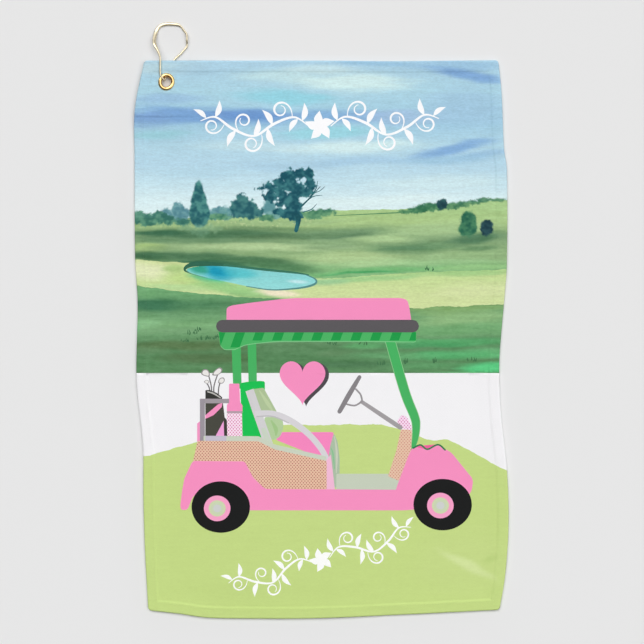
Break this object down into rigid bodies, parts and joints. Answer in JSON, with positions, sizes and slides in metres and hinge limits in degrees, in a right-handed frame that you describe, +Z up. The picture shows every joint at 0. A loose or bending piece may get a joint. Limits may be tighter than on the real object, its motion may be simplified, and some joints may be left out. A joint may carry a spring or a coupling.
{
  "type": "golf towel",
  "caption": "Hemmed rectangular printed golf towel laid flat, with a brass eyelet and a sprung wire clip at its top left corner.",
  "frame": {"origin": "bottom centre of the whole object's box, on the surface that the towel lies on", "axes": "+X across the towel, +Y along it towards the clip's end, +Z up out of the printed face"},
  "size_m": [0.409, 0.6517, 0.0093],
  "materials": {
    "printed_cloth": "waffle-weave microfibre, printed on the face",
    "hem_cloth": "unprinted white microfibre",
    "thread": "white polyester sewing thread",
    "brass": "polished",
    "gold_wire": "pale gold plated"
  },
  "bodies": {
    "towel": {"towel_panel": "printed_cloth", "hem_top": "hem_cloth", "hem_bottom": "hem_cloth", "hem_left": "hem_cloth", "hem_right": "hem_cloth", "needle_thread_top": "thread", "needle_thread_bottom": "thread", "needle_thread_left": "thread", "needle_thread_right": "thread", "bobbin_thread_top": "thread", "bobbin_thread_bottom": "thread", "bobbin_thread_left": "thread", "bobbin_thread_right": "thread", "grommet_eyelet": "brass", "grommet_washer": "brass"},
    "clip": {"clip_body": "gold_wire"},
    "gate": {"clip_gate": "gold_wire"}
  },
  "joints": [
    {"name": "clip_swing", "type": "hinge", "parent": "towel", "child": "clip", "pos_m": [-0.169, 0.26, 0], "axis": [0, 0, 1], "range_deg": [-15, 90]},
    {"name": "gate_flex", "type": "hinge", "parent": "clip", "child": "gate", "pos_m": [-0.1713, 0.2618, 0], "axis": [0, 0, 1], "range_deg": [-10, 0], "stiffness_Nm_per_rad": 0.2}
  ]
}
